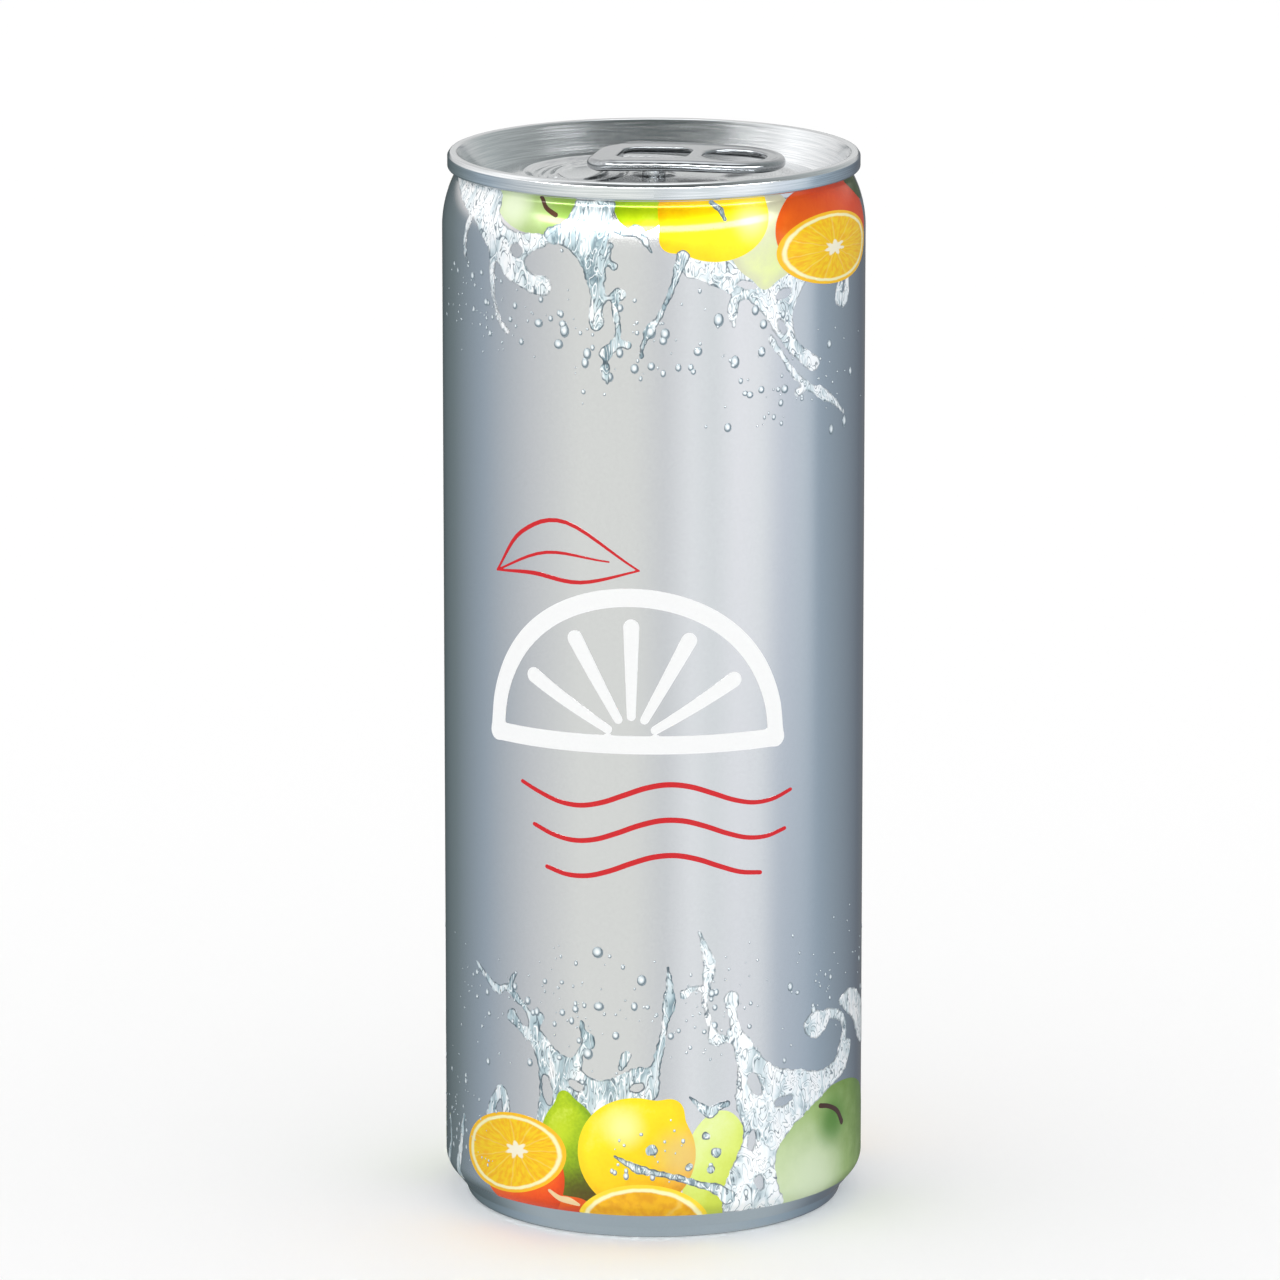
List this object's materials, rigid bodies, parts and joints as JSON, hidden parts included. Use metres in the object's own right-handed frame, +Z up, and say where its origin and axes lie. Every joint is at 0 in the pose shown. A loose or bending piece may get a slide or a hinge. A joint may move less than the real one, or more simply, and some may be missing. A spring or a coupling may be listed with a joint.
{
  "type": "drink can",
  "caption": "Slim shut aluminium drink can with a necked shoulder, rolled seam, recessed end and stay-on pull tab.",
  "frame": {"origin": "middle of the circle that the can stands on", "axes": "+Z up along the can's axis; the shown side of the print faces -Y; the tab's nose points to -X, turned 10.6 degrees towards +Y"},
  "size_m": [0.053, 0.053, 0.134],
  "materials": {
    "body_print": "gloss varnish over satin silver ink and printed fruit",
    "end_metal": "rolled aluminium sheet with clear lacquer",
    "tab_metal": "bright rolled aluminium"
  },
  "bodies": {
    "root": {"can_body": "body_print", "can_end": "end_metal", "pull_tab": "tab_metal"}
  },
  "joints": []
}
